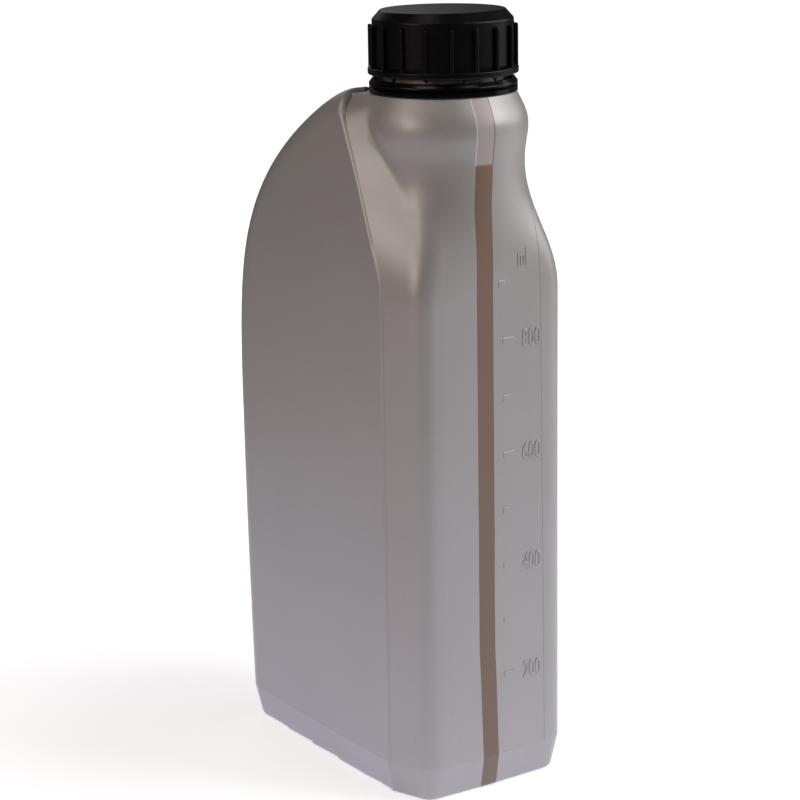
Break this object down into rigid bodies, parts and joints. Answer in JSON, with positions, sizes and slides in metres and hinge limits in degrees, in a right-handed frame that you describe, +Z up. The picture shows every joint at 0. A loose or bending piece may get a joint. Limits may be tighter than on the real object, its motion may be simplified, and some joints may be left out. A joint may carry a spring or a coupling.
{
  "type": "lubricant bottle",
  "caption": "Flat-sided blow-moulded oil bottle with a level strip, a round neck set to the front and a ribbed screw cap.",
  "frame": {"origin": "middle of the footprint, on the standing plane", "axes": "+X to the front face with the level strip, Y across the broad sides, +Z up"},
  "size_m": [0.1032, 0.0618, 0.236],
  "materials": {
    "bottle_plastic": "silver-grey satin HDPE",
    "oil": "amber-brown oil",
    "cap_plastic": "black moulded polypropylene",
    "liner_foam": "white polyethylene foam"
  },
  "bodies": {
    "bottle": {"bottle": "bottle_plastic", "oil_fill": "oil", "tamper_band": "cap_plastic"},
    "liner": {"cap_liner": "liner_foam"},
    "cap": {"cap": "cap_plastic"}
  },
  "joints": [
    {"name": "cap_lift", "type": "slide", "parent": "bottle", "child": "liner", "axis": [0, 0, 1], "range_m": [0, 0.0161]},
    {"name": "cap_turn", "type": "hinge", "parent": "liner", "child": "cap", "pos_m": [0.0265, 0, 0.225], "axis": [0, 0, 1], "range_deg": [0, 1440]}
  ],
  "couplings": [
    {"joint": "cap_lift", "follows": "cap_turn", "m_per_rad": 0.00063662}
  ]
}
